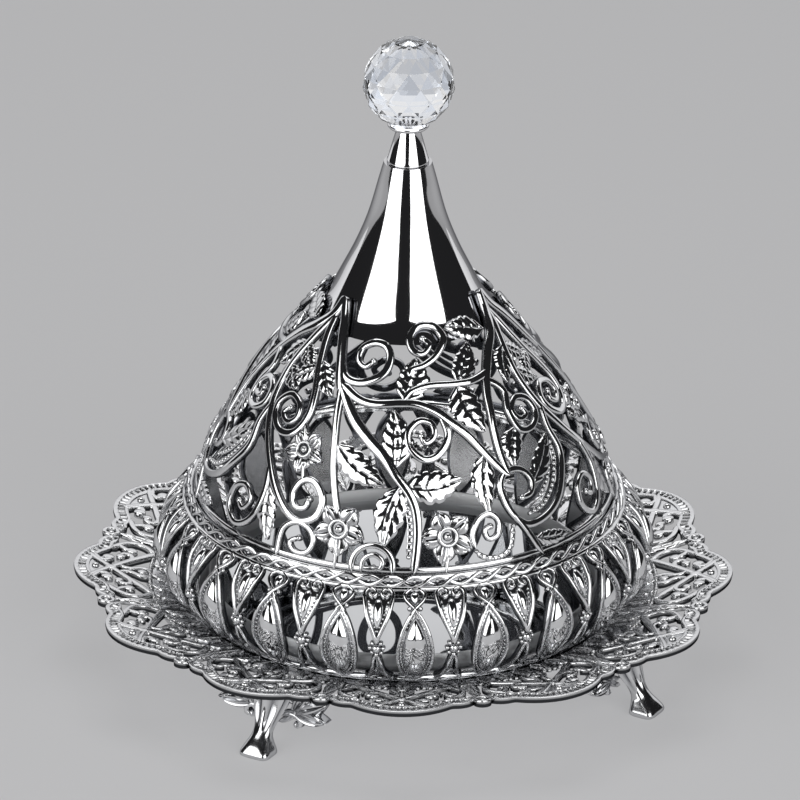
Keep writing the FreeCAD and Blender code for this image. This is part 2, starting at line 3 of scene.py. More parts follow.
import bpy
import numpy as np
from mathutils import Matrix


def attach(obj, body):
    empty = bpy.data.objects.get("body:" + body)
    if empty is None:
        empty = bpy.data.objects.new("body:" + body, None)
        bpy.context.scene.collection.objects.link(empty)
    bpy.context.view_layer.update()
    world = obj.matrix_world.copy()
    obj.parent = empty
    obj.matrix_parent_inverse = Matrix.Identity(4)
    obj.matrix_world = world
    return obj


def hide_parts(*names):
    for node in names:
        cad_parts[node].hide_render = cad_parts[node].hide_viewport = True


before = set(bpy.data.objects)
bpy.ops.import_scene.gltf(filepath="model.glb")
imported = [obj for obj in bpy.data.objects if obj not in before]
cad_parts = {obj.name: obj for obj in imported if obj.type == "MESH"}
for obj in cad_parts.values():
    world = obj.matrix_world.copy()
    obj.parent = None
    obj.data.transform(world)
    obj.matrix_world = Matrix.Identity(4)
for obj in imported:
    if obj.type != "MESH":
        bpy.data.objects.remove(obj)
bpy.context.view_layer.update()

# Openwork sweet dish in bright plate with a domed lid, a plain spire and a cut-glass ball.
# Lengths are in millimetres until a mesh is written, and the stage is in metres. The front of the dish
# faces -Y, and angles are counted in degrees from the front towards +X. A profile is a list of
# (radius, height) points.

MM = 0.001
# Turned discs close round a hairline hole of this radius
AXIS_R = 0.05

# Tray: scallop points are (angle from its middle, plan radius)
LOBES = 12
HALF_LOBE = 180 / LOBES
LOBE_TIP, LOBE_SHOULDER, LOBE_BULGE, LOBE_NOTCH = (0.0, 111.0), (9.2, 104.6), (12.3, 104.2), (14.4, 99.6)
TRAY_UNDER, TRAY_FLOOR, TRAY_SHEET = 20.0, 22.2, 1.6
TRAY_RISE = [(72.0, 22.2), (92.0, 27.2), (114.0, 29.9)]
LEAF_TIPS_R = 85.2
FLOOR_RADII = (72.0, 76.0, 80.0, LEAF_TIPS_R)
BEAD_CIRCLE_R = 102.6
BORDER_WIDTH, SLOT_PITCH = 5.4, 2.1
LACE_HEIGHT, LACE_DEPTH = 1.1, 1.0

# Basket
MOTIFS = 20
FIRST_MOTIF = 3.0
BELLY_R = 81.3
WALL = [(71.0, 24.0), (76.9, 29.6), (80.4, 36.0), (81.3, 40.5), (80.7, 45.4), (77.9, 51.6), (72.2, 57.5)]
WALL_LOW_Z, WALL_TOP_Z = 25.0, 56.9
BOSS_TOP_Z = 51.6
HEART_TIP_Z, HEART_KNOT_Z, HEART_HIP_Z = 42.0, 39.2, 37.2
RIM = [(67.8, 56.9), (71.6, 56.9), (72.3, 57.6), (72.3, 60.6), (71.8, 61.2), (71.2, 61.2), (70.6, 60.8),
       (70.6, 58.6), (67.8, 58.6)]
BRAID_EYES, STEPS_PER_EYE = 60, 12
BRAID_R, BRAID_Z = 73.2, 59.3
BRAID_SWING, STRAND_HALF, STRAND_LIFT, STRAND_DEPTH = 1.45, 0.62, 0.45, 0.4
WIRE_R, WIRE_Z, WIRE_HALF = 73.6, 57.2, 0.95
FOOT_RING = [(66.2, 22.2), (71.4, 22.2), (72.4, 22.9), (72.6, 23.8), (72.0, 24.8), (71.2, 25.2),
             (68.4, 25.0)]
DISH_R, DISH_UNDER, DISH_Z, DISH_RISE = 64.2, 22.2, 23.4, 1.6
UPSTAND = [(DISH_R, DISH_UNDER), (65.0, 22.4), (65.6, 23.4), (65.6, 28.6), (65.3, 29.0), (64.9, 29.0),
           (64.6, 28.6), (DISH_R, 24.4)]

# Lid
PANELS = 3
PANEL_MIDDLE = 9.0
PANEL_FLAT_R = 50.0
DOME = [(69.8, 61), (66.5, 71), (62, 82), (52.2, 99.5), (43.2, 112), (33, 125.5), (28.2, 131), (24.8, 137),
        (23.2, 140)]
LID_RING = [(66.4, 58.6), (70.2, 58.6), (70.2, 60.5), (69.9, 60.9), (69.4, 61.0), (67.4, 61.0),
            (66.4, 60.0)]

# Spire and knob
SPIRE = [(31, 126), (26.3, 131.5), (21.3, 141), (17, 150), (13, 160.5), (9.5, 173.5), (8.0, 179)]
SPIRE_SHEET = 1.0
STUD_HOLE_R = 2.1
SPIRE_CAP = [(STUD_HOLE_R, 179.0), (STUD_HOLE_R, 177.5)]
STEM = [(STUD_HOLE_R, 179.0), (6.9, 179.0), (7.0, 179.1), (7.0, 179.9), (6.9, 180.0), (6.8, 180.1),
        (4.0, 190.4), (3.9, 191.0), (STUD_HOLE_R, 191.0)]
CUP = [(STUD_HOLE_R, 191.0), (4.1, 191.0), (6.5, 191.5), (6.9, 192.0), (6.9, 192.6), (6.6, 192.9),
       (STUD_HOLE_R, 192.9)]
KNOB_STEPS = 96
BALL_Z, BALL_R = 207.2, 15.4
BALL_SIDES = 12
BALL_ROWS = (72.0, 52.0, 32.0, 12.0, -8.0, -28.0, -48.0)
BALL_FOOT_R, BALL_FOOT_Z = 5.0, -14.2

# Feet: each section of the leg is the radius and height of its middle, its half widths across and along the
# radius, and the power that squares it off
FEET = 4
FIRST_FOOT = -30.0
LEG = [(84, 26.0, 9.4, 5.6, 2), (84.6, 22, 8.0, 5.0, 2), (86, 17, 6.0, 4.4, 2), (88.4, 12, 4.2, 3.6, 2),
       (90.4, 8.8, 3.4, 3.1, 2), (92.2, 6.2, 3.5, 3.2, 2.4), (93.6, 3.8, 4.4, 4.0, 3.4),
       (94.4, 1.7, 5.3, 4.6, 4.6), (94.4, 0.5, 5.4, 4.7, 4.6), (94.3, 0.0, 5.0, 4.3, 4.6)]
LEG_STEPS = 60
FLUTES, FLUTE_CUT, FLUTE_END_Z, FLUTE_FADE = 7, 0.13, 7, 5
WING_R = 83.6


# Flat lines


def smooth(points, count):
    """Smooth line through points: cubic spans whose end slopes are half the chord of the neighbours"""
    p = np.asarray(points, float)
    q = np.vstack([2 * p[0] - p[1], p, 2 * p[-1] - p[-2]])
    t = np.linspace(0, len(p) - 1, count)
    i = np.minimum(t.astype(int), len(p) - 2)
    f = (t - i)[:, None]
    a, b, c, d = q[i], q[i + 1], q[i + 2], q[i + 3]
    square, cube = 2 * a - 5 * b + 4 * c - d, 3 * b - a - 3 * c + d
    return 0.5 * (2 * b + (c - a) * f + square * f ** 2 + cube * f ** 3)


def run(line):
    """Length of a line from its start to each of its points"""
    return np.concatenate([[0], np.cumsum(np.linalg.norm(np.diff(line, axis=0), axis=1))])


def even(line, count):
    """The same line with points at equal steps of its length"""
    length = run(line)
    at = np.linspace(0, length[-1], count)
    return np.stack([np.interp(at, length, line[:, k]) for k in range(line.shape[1])], -1)


def heading(line, ring=False):
    """Unit direction of a line at each of its points"""
    step = np.roll(line, -1, axis=0) - np.roll(line, 1, axis=0) if ring else np.gradient(line, axis=0)
    return step / np.linalg.norm(step, axis=1)[:, None]


def mirrored(points, side, x=0.0):
    """Points drawn about a line at x: side +1 keeps them, side -1 mirrors them"""
    return np.asarray(points, float) * [side, 1] + [x, 0]


def angles(count):
    """Equal steps round a full turn"""
    return np.linspace(0, 2 * np.pi, count, endpoint=False)


def circle(x, y, r, count):
    """Closed outline of a circle"""
    a = angles(count)
    return np.stack([x + r * np.cos(a), y + r * np.sin(a)], -1)


def arc(start, middle, end, count):
    """Circular arc through three flat points"""
    a, b, c = (complex(*p) for p in (start, middle, end))
    w = (c - a) / (b - a)
    centre = a + (b - a) * (w - abs(w) ** 2) / (2j * w.imag)
    turn = np.angle((b - centre) / (a - centre)) + np.angle((c - centre) / (b - centre))
    points = centre + (a - centre) * np.exp(1j * turn * np.linspace(0, 1, count))
    return np.stack([points.real, points.imag], -1)


def spiral(x, y, r, start, hand, turns, count):
    """Line winding inwards: the radius shrinks evenly from r to about a quarter of it, and the angle sets out
    12 degrees before its start; hand +1 turns anticlockwise"""
    t = np.linspace(0, 1, count)
    a = np.radians(start + hand * (360 * turns * t - 12))
    shrunk = r * (1 - 0.76 * t)
    return np.stack([x + shrunk * np.cos(a), y + shrunk * np.sin(a)], -1)


def pointed_oval(x, low, high, width, count):
    """Closed outline of two equal arcs that meet in points below and above"""
    middle = (low + high) / 2
    right = arc((x, low), (x + width / 2, middle), (x, high), count)
    left = arc((x, high), (x - width / 2, middle), (x, low), count)
    return np.vstack([right[:-1], left[:-1]])


def drop_outline(x, y, r, tip_y, count):
    """Closed outline of a drop: at the share s of its height, counted from the round end, the half width is
    2.3 r sqrt(s (1 - s)) (1 - s) ** 0.35, which draws it to a tip"""
    a = angles(count)
    up = 1 if tip_y > y else -1
    s = (1 - np.cos(a)) / 2
    across = r * 1.15 * np.sin(a) * (1 - s) ** 0.35
    return np.stack([x + across * up, y + up * (-r + (r + abs(tip_y - y)) * s)], -1)


# Surfaces that carry the ornament

MERIDIAN_STEPS = 600


class Skin:
    """Surface of revolution unrolled true to angle: x round the girth at a reference radius, y up the
    meridian"""

    def __init__(self, meridian, reference):
        line = even(smooth(meridian, MERIDIAN_STEPS), MERIDIAN_STEPS)
        self.r, self.z = line.T
        self.reference = reference
        step = np.hypot(np.diff(self.r), np.diff(self.z)) * 2 * reference / (self.r[1:] + self.r[:-1])
        self.flat = np.concatenate([[0], np.cumsum(step)])
        slope = heading(line)
        self.out_r, self.out_z = slope[:, 1], -slope[:, 0]

    def height(self, z):
        """Flat height of a level"""
        return np.interp(z, self.z, self.flat)

    def grow(self, y):
        """How much larger the flat layout is than the surface itself"""
        return self.reference / np.interp(y, self.flat, self.r)

    def place(self, x, y, h):
        """Points of the surface for flat points, raised by h along its normal"""
        angle = x / self.reference
        r = np.interp(y, self.flat, self.r) + h * np.interp(y, self.flat, self.out_r)
        z = np.interp(y, self.flat, self.z) + h * np.interp(y, self.flat, self.out_z)
        return np.stack([r * np.sin(angle), -r * np.cos(angle), z], -1)


class TrueSize:
    """Surface laid flat at its own size"""

    def grow(self, y):
        return np.ones_like(y)


class TrayTop(TrueSize):
    """Upper face of the tray seen in plan: x to the side and y out along the middle of the front scallop"""

    curve = np.polyfit(*np.array(TRAY_RISE).T, 2)

    def place(self, x, y, h):
        """The height follows the parabola through the three points of the border"""
        r = np.maximum(np.hypot(x, y), TRAY_RISE[0][0])
        return np.stack([x, -y, np.polyval(self.curve, r) + h], -1)


class RimFace(TrueSize):
    """Outer face of the rim: x round the girth, y up, raised outwards and a little upwards; it leans in"""

    def place(self, x, y, h):
        """The radius falls by 0.3 of the height"""
        angle = x / BRAID_R
        r = BRAID_R - 0.8 + 0.9 * h - 0.3 * y
        return np.stack([r * np.sin(angle), -r * np.cos(angle), BRAID_Z + y + 0.35 * h], -1)


class Upright(TrueSize):
    """Upright plane across the foot: x to the side, y up, raised outwards along the radius"""

    def __init__(self, radius):
        self.radius = radius

    def place(self, x, y, h):
        return np.stack([x, -(self.radius + h), y + 0 * x], -1)


# Pieces


class Piece:
    """Closed surfaces gathered for one object; relief is 0 in the hollows and 1 on the high places, and is
    the mask of the painted shade
    """

    def __init__(self):
        self.points, self.faces, self.relief, self.total = [], [], [], 0

    def add(self, grid, relief=1.0, ring=False):
        """A grid of points whose columns close on themselves; the rows close too on a ring, and else get
        end faces. The faces are turned over where they look inwards on the whole"""
        rows, cols = grid.shape[:2]
        index = np.arange(rows * cols).reshape(rows, cols)
        beside = np.roll(index, -1, axis=1)
        if ring:
            corners = [index, beside, np.roll(beside, -1, axis=0), np.roll(index, -1, axis=0)]
            ends = []
        else:
            corners = [index[:-1], beside[:-1], beside[1:], index[1:]]
            ends = [index[:1, ::-1], index[-1:]]
        quads = np.stack(corners, -1).reshape(-1, 4)
        flat = grid.reshape(-1, 3)
        c = flat[quads]
        normal = np.cross(c[:, 2] - c[:, 0], c[:, 3] - c[:, 1])
        inside_out = np.sum((c.mean(1) - flat.mean(0)) * normal) < 0
        for block in [quads] + ends:
            self.faces.append((block[:, ::-1] if inside_out else block) + self.total)
        self.points.append(flat)
        self.relief.append(np.broadcast_to(relief, (rows, cols)).reshape(-1))
        self.total += len(flat)

    def build(self, name, body, finish, copies=1, first=0.0, replaces=(), slot="plated_metal", crease=50):
        """Writes the mesh, turned about the axis into equal copies, and lets it ride on its body"""
        points = np.concatenate(self.points)
        turn = np.radians(first + 360 / copies * np.arange(copies))[:, None]
        x, y, z = points.T
        every = np.stack([np.cos(turn) * x - np.sin(turn) * y, np.sin(turn) * x + np.cos(turn) * y,
                          np.broadcast_to(z, (copies, len(z)))], -1).reshape(-1, 3)
        shift = (np.arange(copies) * self.total)[:, None, None]
        blocks = [(f[None] + shift).reshape(-1, f.shape[1]) for f in self.faces]
        loops = np.concatenate([b.ravel() for b in blocks])
        sizes = np.concatenate([np.full(len(b), b.shape[1]) for b in blocks])
        mesh = bpy.data.meshes.new(name)
        mesh.vertices.add(len(every))
        mesh.vertices.foreach_set("co", (every * MM).ravel().astype(np.float32))
        mesh.loops.add(len(loops))
        mesh.loops.foreach_set("vertex_index", loops.astype(np.int32))
        mesh.polygons.add(len(sizes))
        mesh.polygons.foreach_set("loop_start", (np.cumsum(sizes) - sizes).astype(np.int32))
        mesh.polygons.foreach_set("use_smooth", np.ones(len(sizes), bool))
        mesh.update(calc_edges=True)
        mesh.validate()
        mesh.set_sharp_from_angle(angle=math.radians(crease))
        # The relief goes on the mesh as the mask of the painted shade
        layer = mesh.attributes.new("relief", "FLOAT", "POINT")
        layer.data.foreach_set("value", np.tile(np.concatenate(self.relief), copies).astype(np.float32))
        mesh.materials.append(finish)
        piece = bpy.data.objects.new(name, mesh)
        bpy.context.scene.collection.objects.link(piece)
        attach(piece, body)
        if replaces:
            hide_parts(*replaces)


# Forms of the ornament

# Section of a rounded flat bar: across in half widths, up in heights; below 0 lies the sunk back
BAR_U = np.array([-1, -0.96, -0.84, -0.5, 0, 0.5, 0.84, 0.96, 1, 0.86, -0.86])
BAR_V = np.array([0, 0.55, 0.86, 0.98, 1, 0.98, 0.86, 0.55, 0, -1, -1])
# Section of a leaf or petal: thirteen points across the blade and two on its back
BLADE_U = np.concatenate([np.linspace(-1, 1, 13), [0.6, -0.6]])
BLADE_TOP = np.arange(len(BLADE_U)) < 13
STEPS_PER_POINT = 40
ROWS_PER_VEIN, VEIN_SLANT = 14, 0.9
PETAL_ROWS = 15


def band(piece, surface, line, width, height=1.2, depth=0.7, ring=False, u=BAR_U, v=BAR_V):
    """A section carried along a flat line: across is u times half the width, up is v times the height,
    and the width shrinks by a quarter circle at free ends"""
    line = np.asarray(line, float)
    ahead = heading(line, ring)
    width = np.atleast_1d(width)
    share = np.linspace(0, 1, len(line))
    half = np.interp(share, np.linspace(0, 1, len(width)), width) / 2 * surface.grow(line[:, 1])
    if not ring:
        length = run(line)
        free = np.clip(np.minimum(length, length[-1] - length) / half, 0, 1)
        half = half * np.maximum(np.sqrt(1 - (1 - free) ** 2), 0.12)
    v = np.broadcast_to(v, (len(line), len(u)))
    x = line[:, :1] + ahead[:, 1:] * half[:, None] * u
    y = line[:, 1:] - ahead[:, :1] * half[:, None] * u
    # The relief follows the height of the section, which paints shade down the sides of the bar and on its
    # sunk back
    piece.add(surface.place(x, y, np.where(v < 0, -depth, v * height)), np.clip(v, 0, 1), ring)


def stroke(piece, surface, points, width, height=1.2, depth=0.7, step=1.1):
    """A band along a smooth line through a few points"""
    line = smooth(points, STEPS_PER_POINT * len(points))
    band(piece, surface, even(line, max(6, int(run(line)[-1] / step))), width, height, depth)


def plate(piece, surface, outline, crown, edge=0.5, depth=0.7, rows=5, centre=None, shade=0.25):
    """An outline filled by a dome: the rings shrink to the middle by a cosine while they rise by a sine"""
    outline = np.asarray(outline, float)
    c = outline.mean(0) if centre is None else np.asarray(centre, float)
    t = np.linspace(0, np.pi / 2 - 0.04, rows)
    shrink = np.concatenate([[1, 1], np.cos(t)[1:]])[:, None]
    rise = np.concatenate([[0, 0], np.sin(t)[1:]])[:, None]
    h = edge + crown * rise
    h[0] = -depth
    x = c[0] + shrink * (outline[:, 0] - c[0])
    y = c[1] + shrink * (outline[:, 1] - c[1])
    # The relief rises from shade at the edge to 1 on the crown, which paints shade round the foot of the dome
    piece.add(surface.place(x, y, np.broadcast_to(h, x.shape)), shade + (1 - shade) * rise)


def bead(piece, surface, x, y, r, base=0.3, depth=0.5, sides=10):
    """Small round button"""
    outline = circle(x, y, r * float(surface.grow(np.float64(y))), sides)
    plate(piece, surface, outline, 0.95 * r, base, depth, rows=4, shade=0.5)


def pad(piece, surface, x, y, r):
    """Flat round end of a scroll"""
    plate(piece, surface, circle(x, y, r, 14), crown=0.45, edge=0.75, depth=1.0, rows=4, shade=0.6)


def beads(piece, surface, line, spacing, r, base=0.3):
    """Beads at equal steps along a line"""
    for x, y in even(line, max(2, int(run(line)[-1] / spacing) + 1)):
        bead(piece, surface, x, y, r, base, depth=0.2, sides=7)


def coil(piece, surface, points, width, height=1.2, depth=0.7):
    """A stroke that winds up and ends in a round eye"""
    stroke(piece, surface, points, width, height, depth, step=0.8)
    bead(piece, surface, points[-1][0], points[-1][1], 0.62 * width[-1], 0.4, depth)


def leaf(piece, surface, base, tip, width, height=1.2, veins=5, depth=0.5, bend=0.06):
    """Toothed leaf: the half width is a skewed sine of the length, the blade is a low dome with a creased
    mid rib, and narrow grooves run out along slanted veins to the notches of the edge"""
    base, tip = np.asarray(base, float), np.asarray(tip, float)
    s = np.linspace(0, 1, ROWS_PER_VEIN * veins + 1)[:, None]
    reach = tip - base
    side = np.array([reach[1], -reach[0]])
    line = base + reach * s + side * bend * np.sin(np.pi * s)
    width = width * float(surface.grow((base[1] + tip[1]) / 2))
    away = np.abs(BLADE_U)
    groove = np.exp(-(((veins * s - VEIN_SLANT * away) % 1 - 0.5) / 0.13) ** 2) * np.clip(away * 5, 0, 1)
    notch = np.exp(-(((veins * s - VEIN_SLANT) % 1 - 0.5) / 0.2) ** 2)
    half = width / 2 * (0.05 + 0.95 * np.sin(np.pi * s ** 0.85) ** 0.8) * (1 - 0.13 * notch)
    rib = np.exp(-(BLADE_U / 0.1) ** 2)
    blade = 0.55 + 0.45 * np.sqrt(np.maximum(1 - away ** 2, 0)) - 0.35 * rib
    level = np.where(away > 0.99, 0.3, blade - 0.17 * groove)
    # Painted shade in the vein grooves and along the mid rib
    shade = np.where(BLADE_TOP, 1 - 0.6 * groove - 0.5 * rib * (1 - groove), 0)
    x = line[:, :1] + side[0] / np.linalg.norm(side) * half * BLADE_U
    y = line[:, 1:] + side[1] / np.linalg.norm(side) * half * BLADE_U
    piece.add(surface.place(x, y, np.where(BLADE_TOP, level * height, -depth)), shade)


def petal(piece, surface, x, y, angle, near, reach, width, height=1.7, depth=0.6):
    """Pointed petal: the half width is a sine that starts open, with three grooves along the blade"""
    s = np.linspace(0, 1, PETAL_ROWS)[:, None]
    a = math.radians(angle)
    half = width / 2 * np.maximum(np.sin(np.pi * (0.2 + 0.8 * s)), 0.02) ** 0.75
    away = np.abs(BLADE_U)
    groove = 0.45 * np.exp(-(BLADE_U / 0.11) ** 2) + 0.25 * np.exp(-((away - 0.52) / 0.1) ** 2)
    swell = 0.45 + 0.55 * np.sin(np.pi * (0.1 + 0.75 * s))
    level = swell * np.sqrt(np.maximum(1 - away ** 2.6, 0)) * (1 - groove) + 0.08
    # Painted shade towards the base of the petal and in its grooves
    shade = np.where(BLADE_TOP, np.clip((0.3 + 0.9 * s) * (1 - 1.3 * groove), 0, 1), 0)
    d = near + (reach - near) * s
    px = x + math.cos(a) * d - math.sin(a) * half * BLADE_U
    py = y + math.sin(a) * d + math.cos(a) * half * BLADE_U
    piece.add(surface.place(px, py, np.where(BLADE_TOP, level * height, -depth)), shade)


def flower(piece, surface, x, y, r, petals, turn):
    """Petals about a raised collar with a bead in it"""
    flat = r * float(surface.grow(np.float64(y)))
    for k in range(petals):
        petal(piece, surface, x, y, turn + 360 / petals * k, 0.28 * flat, flat, 4.3 * flat / petals)
    band(piece, surface, circle(x, y, 0.32 * flat, 20), 0.15 * r, 2.2, 0.5, ring=True)
    bead(piece, surface, x, y, 0.17 * r, base=1.1)


def lathe(piece, profile, count=128):
    """Closed ring swept by a closed profile turned about the axis"""
    r, z = np.asarray(profile, float).T
    a = angles(count)[:, None]
    piece.add(np.stack([r * np.sin(a), -r * np.cos(a), np.broadcast_to(z, (count, len(z)))], -1), ring=True)


def turned(name, body, finish, profile, count=128, **fitting):
    """A whole piece from the lathe"""
    piece = Piece()
    lathe(piece, profile, count)
    piece.build(name, body, finish, **fitting)


# Finishes: noise scales are per metre


class Value:
    """A shader socket that takes part in Python arithmetic; each step adds a Math node"""

    def __init__(self, tree, socket):
        self.tree, self.socket = tree, socket

    def math(self, operation, first, second):
        node = self.tree.nodes.new("ShaderNodeMath")
        node.operation = operation
        for pin, v in zip(node.inputs, (first, second)):
            connect(self.tree, v, pin)
        return Value(self.tree, node.outputs[0])

    def __add__(self, other):
        return self.math("ADD", self, other)

    def __rsub__(self, other):
        return self.math("SUBTRACT", other, self)

    def __mul__(self, other):
        return self.math("MULTIPLY", self, other)

    def __pow__(self, other):
        return self.math("POWER", self, other)

    __radd__ = __add__
    __rmul__ = __mul__


def connect(tree, value, pin):
    """Links a socket to an input, or sets the input to a plain number or colour"""
    if isinstance(value, Value):
        tree.links.new(value.socket, pin)
    else:
        pin.default_value = value


class Finish:
    """A material with one main shader"""

    def __init__(self, name, **constants):
        self.material = bpy.data.materials.new(name)
        self.material.use_nodes = True
        self.tree = self.material.node_tree
        self.shader = self.tree.nodes["Principled BSDF"]
        self.set(**constants)

    def set(self, **inputs):
        """Inputs of the main shader, with _ for the blanks of their names"""
        for name, value in inputs.items():
            connect(self.tree, value, self.shader.inputs[name.replace("_", " ")])

    def node(self, kind, settings, inputs, output=0):
        """Any other node: its settings first, then its inputs by name or number"""
        node = self.tree.nodes.new("ShaderNode" + kind)
        for name, value in settings.items():
            setattr(node, name, value)
        for name, value in inputs.items():
            connect(self.tree, value, node.inputs[name])
        return Value(self.tree, node.outputs[output])

    def noise(self, scale, detail=2.0):
        where = self.node("TexCoord", {}, {}, "Object")
        return self.node("TexNoise", {}, {"Vector": where, "Scale": scale, "Detail": detail})

    def mix(self, factor, low, high):
        return self.node("Mix", {"data_type": "RGBA"}, {0: factor, 6: (*low, 1), 7: (*high, 1)}, 2)


# Bright plate mirrors less at a grazing angle, which keeps its outline dark on a pale ground
EDGE_TINT = (0.25, 0.25, 0.26, 1)


def plated(name, bright, hollow_shade, rough):
    """Bright cast plate with painted shade: darker, and duller too, in the hollows of the relief, with a
    faint casting ripple
    """
    made = Finish(name, Metallic=1.0, Specular_Tint=EDGE_TINT)
    relief = made.node("Attribute", {"attribute_name": "relief"}, {}, "Fac")
    cloud = made.noise(260.0)
    # Painted shade: the colour falls from bright to the hollow colour on the low places, and the casting
    # ripple varies it
    high = relief ** 0.6 * (0.88 + 0.24 * cloud)
    made.set(Base_Color=made.mix(high, hollow_shade, bright))
    made.set(Roughness=rough + (1 - relief) * 0.16 + cloud * 0.05)
    grain = made.noise(900.0, 3.0)
    made.set(Normal=made.node("Bump", {}, {"Strength": 0.05, "Distance": 0.0002, "Height": grain}))
    return made.material


def polished(name, colour, rough):
    """Mirror-bright plate with a slow change of gloss, as left by a polishing mop"""
    made = Finish(name, Metallic=1.0, Specular_Tint=EDGE_TINT)
    haze = made.noise(45.0)
    made.set(Base_Color=made.mix(haze, [0.94 * c for c in colour], colour))
    made.set(Roughness=rough + haze * 0.03)
    return made.material


def cut_glass(name):
    """Clear glass in which each flat facet has its own slight tone, cool or warm, a painted reflection and
    fire
    """
    made = Finish(name, Roughness=0.0, IOR=1.54, Transmission_Weight=1.0)
    facing = made.node("NewGeometry", {}, {}, "True Normal")
    # Painted reflection: a random tone for each facet stands in for the light it throws back and the coloured
    # fire of the cut
    facet_glint = made.node("TexWhiteNoise", {"noise_dimensions": "3D"}, {"Vector": facing}, "Value")
    made.set(Base_Color=made.mix(facet_glint, (0.74, 0.80, 0.90), (1.0, 0.99, 0.97)))
    return made.material


# The second colour of each plated finish is the painted shade of its hollows
PLATE = plated("bright_plate", (0.86, 0.865, 0.875), (0.16, 0.165, 0.18), 0.05)
LACE = plated("tray_plate", (0.90, 0.905, 0.915), (0.05, 0.052, 0.056), 0.14)
MIRROR = polished("mirror_plate", (0.90, 0.90, 0.91), 0.04)
DISH = polished("dish_plate", (0.82, 0.83, 0.84), 0.0)
SATIN = polished("satin_plate", (0.74, 0.75, 0.76), 0.42)
STEEL = polished("fastener_steel", (0.60, 0.60, 0.62), 0.25)
GLASS = cut_glass("cut_glass")


# Lid

dome = Skin(DOME, PANEL_FLAT_R)
HALF_PANEL = math.radians(180 / PANELS) * PANEL_FLAT_R
# The lines below give the lean widths of the design, and the casting is fuller by these factors
STEM_SWELL, COIL_SWELL, LEAF_SWELL = 1.08, 1.12, 1.45

# Lines of one panel on the unrolled dome, each with its widths from start to end
LID_STEMS = [
    ([(-52.4, 97), (-48.7, 89), (-44.5, 79.9), (-39.2, 66.9), (-35.4, 56.4), (-32.4, 50.2)],
      (3.2, 3.0, 3.2, 3.8)),
    ([(-33.6, 54), (-31.9, 42.1), (-30.4, 34.1), (-29.1, 26.8), (-27.3, 20.1), (-25.2, 13.5)],
      (2.8, 2.3, 2.1, 2.1)),
    ([(-33.0, 52), (-25.4, 41.8), (-19.5, 35.7), (-13.9, 30.4), (-10.1, 25.1), (-6.7, 20.6), (-4.8, 16.2),
      (-4.3, 11), (-4.6, 5.9), (-5.4, 0)], (3.0, 3.8, 3.7, 3.2, 2.8, 2.6)),
    ([(-33.4, 53.6), (-25.5, 49.3), (-19, 48.2), (-10, 49), (-3.2, 48.6), (3.2, 45.5), (7.6, 41.4),
      (12.3, 36.5), (15.9, 31.3), (19.3, 26.2), (22.8, 21.6)], (3.4, 2.8, 2.8, 3.2, 2.8, 2.5)),
    ([(52.4, 97), (49, 85), (42.7, 74.7), (34.4, 66.2), (28.1, 57), (24.8, 49.3), (23.3, 41.9),
      (22.2, 35.1), (22, 28.1), (22.8, 21.8)], (3.2, 3.2, 3.4, 2.8, 2.5, 2.4)),
    ([(28.6, 57.2), (20, 55.2), (13.2, 55.3), (2.2, 55.9), (-5.3, 53.8), (-8.5, 50)], (2.6, 2.4, 2.3, 1.8)),
    ([(21.6, 11.4), (24.7, 6.2), (27.6, 0)], (2.0, 2.2)),
    ([(-24.3, 6), (-24.3, 0)], (1.2, 1.2)),
    ([(3.1, 5), (2.2, 0)], (1.2, 1.2)),
    ([(-41.9, 36.5), (-40, 31)], (1.2, 1.2)),
    ([(-38.4, 25), (-37, 20.4)], (1.2, 1.2))]
